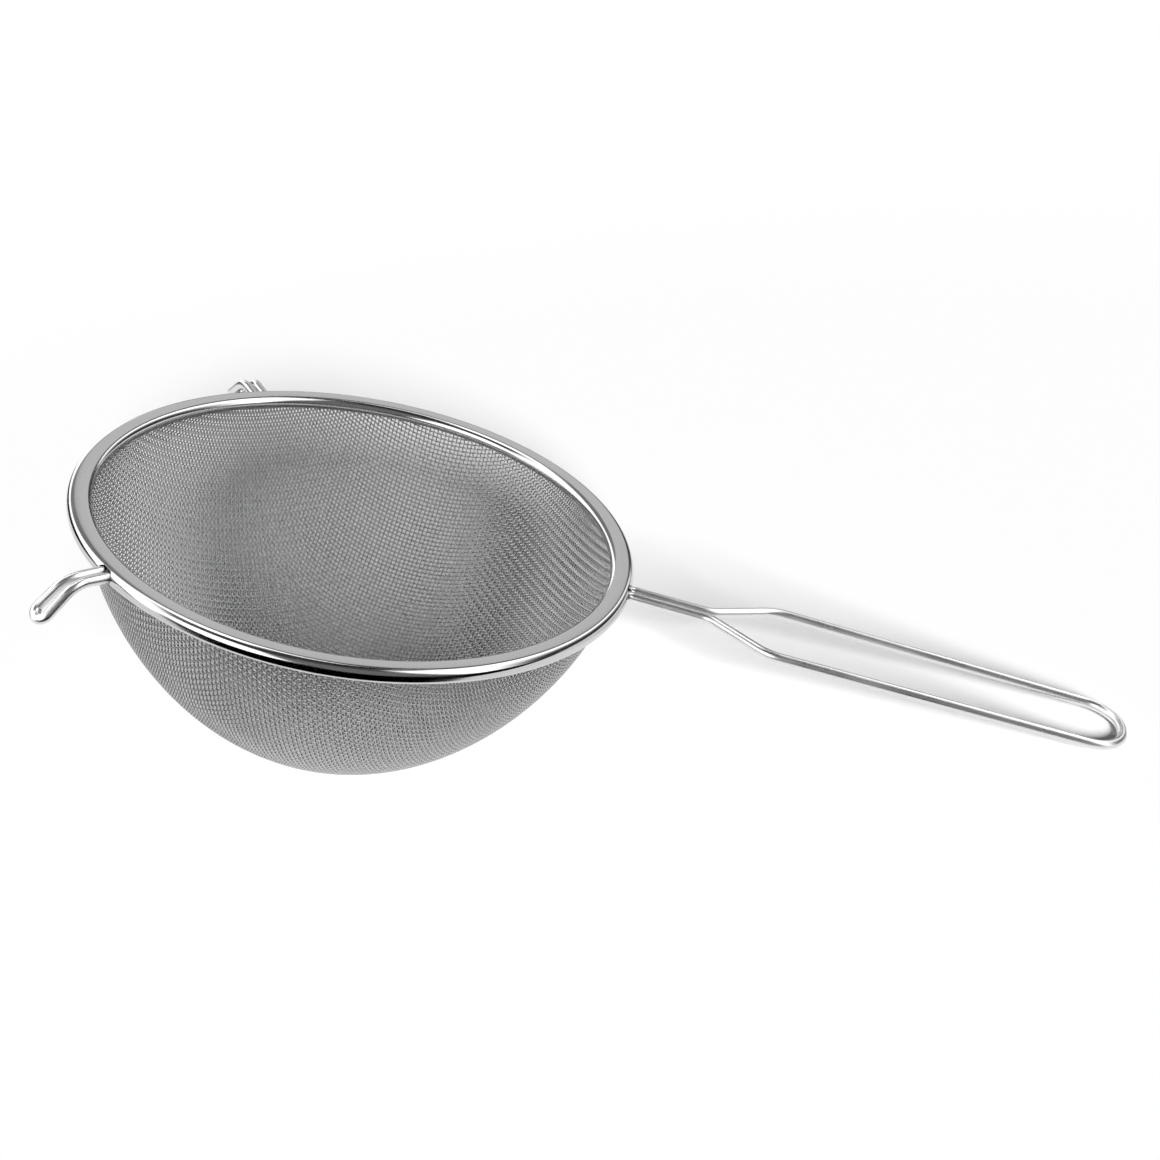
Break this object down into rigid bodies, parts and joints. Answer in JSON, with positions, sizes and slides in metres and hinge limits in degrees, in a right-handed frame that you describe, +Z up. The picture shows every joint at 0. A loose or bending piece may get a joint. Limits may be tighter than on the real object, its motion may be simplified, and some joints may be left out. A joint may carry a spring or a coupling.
{
  "type": "mesh strainer",
  "caption": "Round wire-mesh strainer: a deep mesh bowl in a rolled steel rim, with a long looped wire handle and wire rest hooks.",
  "frame": {"origin": "bottom centre of the bounding box, on the surface that the strainer rests on", "axes": "+X towards the end of the handle, +Y to the right-hand hook as seen from the handle's end, +Z up; the strainer rests on its bowl and on the handle's end, so the rim leans 18.3 degrees down towards the handle"},
  "size_m": [0.3594, 0.2, 0.1248],
  "materials": {
    "rim_sheet": "polished stainless steel sheet, rolled",
    "wire_cloth": "plain woven stainless steel wire cloth, 0.55 mm wires 1.65 mm apart",
    "hoop_wire": "plain steel wire, hidden in the rim",
    "drawn_wire": "bright drawn stainless steel wire, polished"
  },
  "bodies": {
    "root": {"rim_band": "rim_sheet", "mesh_bowl": "wire_cloth", "core_hoop": "hoop_wire", "handle_wire": "drawn_wire", "rest_hook_left": "drawn_wire", "rest_hook_right": "drawn_wire"}
  },
  "joints": []
}
